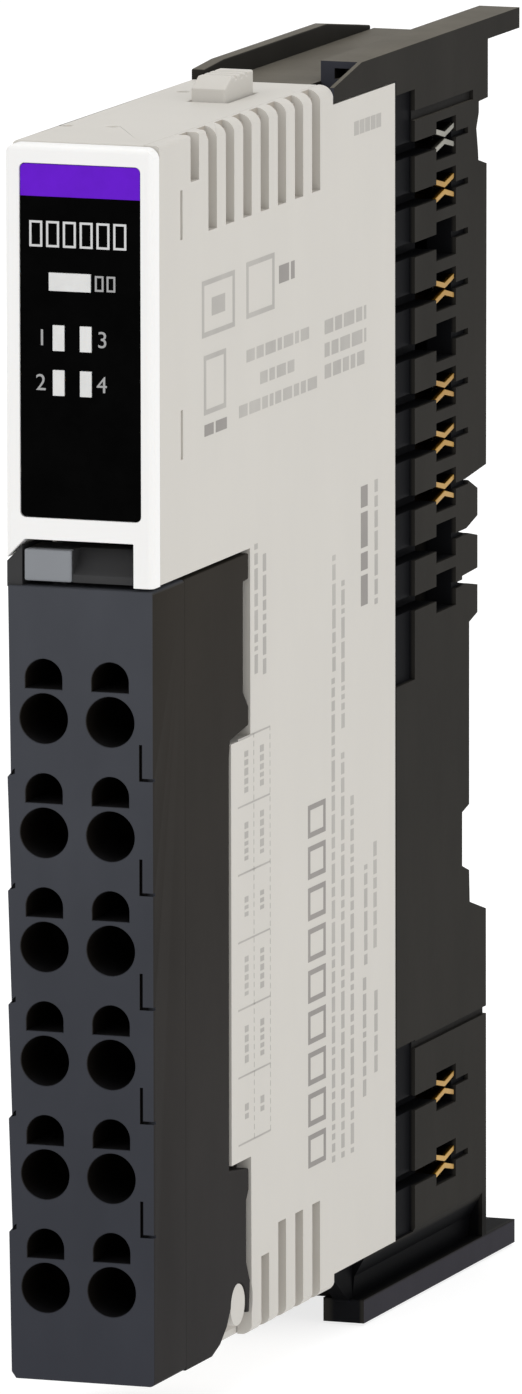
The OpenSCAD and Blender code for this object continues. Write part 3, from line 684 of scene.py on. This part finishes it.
# ---------------------------------------------------------------- digits on the front (plain channel numbers)
def digit(bm, ch, x, z, h):
    """A plain digit with its lower left corner at (x, z), h mm high."""
    cu = bpy.data.curves.new("digit", "FONT")
    cu.body = ch
    cu.size = h * MM / 0.70
    cu.extrude = 0.02 * MM
    o = bpy.data.objects.new("digit", cu)
    bpy.context.scene.collection.objects.link(o)
    dg = bpy.context.evaluated_depsgraph_get()
    me = bpy.data.meshes.new_from_object(o.evaluated_get(dg), depsgraph=dg)
    me.transform(Matrix.Translation(P(x, 0.105, z)) @ Matrix.Rotation(math.radians(90), 4, "X"))
    bm.from_mesh(me)
    bpy.data.objects.remove(o)
    bpy.data.meshes.remove(me)
    bpy.data.curves.remove(cu)


def front_frame(bm, x0, x1, z0, z1, t):
    for q in ((x0, x1, z0, z0 + t), (x0, x1, z1 - t, z1), (x0, x0 + t, z0 + t, z1 - t), (x1 - t, x1, z0 + t, z1 - t)):
        add_box(bm, q[0], q[1], 0.085, 0.125, q[2], q[3])


bm = bmesh.new()
for ch, x, z in (("1", -3.45, 28.75), ("2", -3.55, 25.3), ("3", 1.45, 28.75), ("4", 1.4, 25.3)):
    digit(bm, ch, x, z, 1.25)
for i in range(2):
    front_frame(bm, 1.3 + i * 0.95, 2.0 + i * 0.95, 33.05, 34.25, 0.15)
bmesh.ops.recalc_face_normals(bm, faces=bm.faces)
new_obj("front_digits", bm, [M["ink_white"]], "electronics")
bm = bmesh.new()
for i in range(6):
    front_frame(bm, -4.0 + i * 1.36, -2.95 + i * 1.36, 36.3, 38.3, 0.17)
new_obj("front_plain_marks", bm, [M["ink_bright"]], "electronics")

# ---------------------------------------------------------------- floor, light, camera
FLOOR_Z = cad_box[0][2] - 0.0002


def stage_plane(name, size, z, mat):
    me = bpy.data.meshes.new(name)
    s = size / 2
    me.from_pydata([(-s, -s, z), (s, -s, z), (s, s, z), (-s, s, z)], [], [(0, 1, 2, 3)])
    o = bpy.data.objects.new(name, me)
    bpy.context.scene.collection.objects.link(o)
    me.materials.append(mat)
    return o


fm, fnt, fb = new_mat("pale_floor", (0.9, 0.9, 0.9), 0.85, spec=0.1)
fn = noise(fnt, coords(fnt).outputs[0], 30, 3)
fnt.links.new(ramp(fnt, fn.outputs["Fac"], [(0.3, (0.30, 0.30, 0.30)), (0.7, (0.32, 0.32, 0.32))]).outputs["Color"], fb.inputs["Base Color"])
fb.inputs["Emission Color"].default_value = (1, 1, 1, 1)
fb.inputs["Emission Strength"].default_value = 0.78
stage_plane("floor", 30, FLOOR_Z, fm)

world = bpy.data.worlds.new("studio")
bpy.context.scene.world = world
world.use_nodes = True
world.node_tree.nodes["Background"].inputs["Color"].default_value = (1.0, 1.0, 1.0, 1)
world.node_tree.nodes["Background"].inputs["Strength"].default_value = 0.85


def area(name, loc, target, size, power, color=(1, 1, 1), size_y=None):
    l = bpy.data.lights.new(name, "AREA")
    l.energy = power
    l.color = color
    l.shape = "RECTANGLE"
    l.size = size
    l.size_y = size_y or size
    o = bpy.data.objects.new(name, l)
    bpy.context.scene.collection.objects.link(o)
    o.location = loc
    o.rotation_euler = (Vector(target) - Vector(loc)).to_track_quat("-Z", "Y").to_euler()
    return o


mid = (0, -0.035, -0.005)
area("key_front_left", (-0.45, -0.75, 0.55), mid, 0.5, 1.6)
area("fill_right", (0.8, -0.25, 0.25), mid, 0.6, 1.6)
area("top_soft", (0.0, 0.1, 0.8), mid, 0.6, 2.0)

# camera at the viewing angle of the photograph
cam = bpy.data.cameras.new("camera")
cam.lens = 18260 * 36 / 1394
cam.sensor_width = 36
cam.sensor_fit = "AUTO"
cam.clip_start = 0.1
cam.clip_end = 50
co = bpy.data.objects.new("camera", cam)
bpy.context.scene.collection.objects.link(co)
R = Vector((0.94072, 0.33918, -0.00154))
B = Vector((0.33516, -0.92884, 0.15788)).normalized()
U = B.cross(R).normalized()
R = U.cross(B).normalized()
mat = Matrix((R, U, B)).transposed().to_4x4()
mat.translation = P(479.32, -1287.65, 221.48)
co.matrix_world = mat
bpy.context.scene.camera = co
bpy.context.scene.view_settings.view_transform = "Standard"
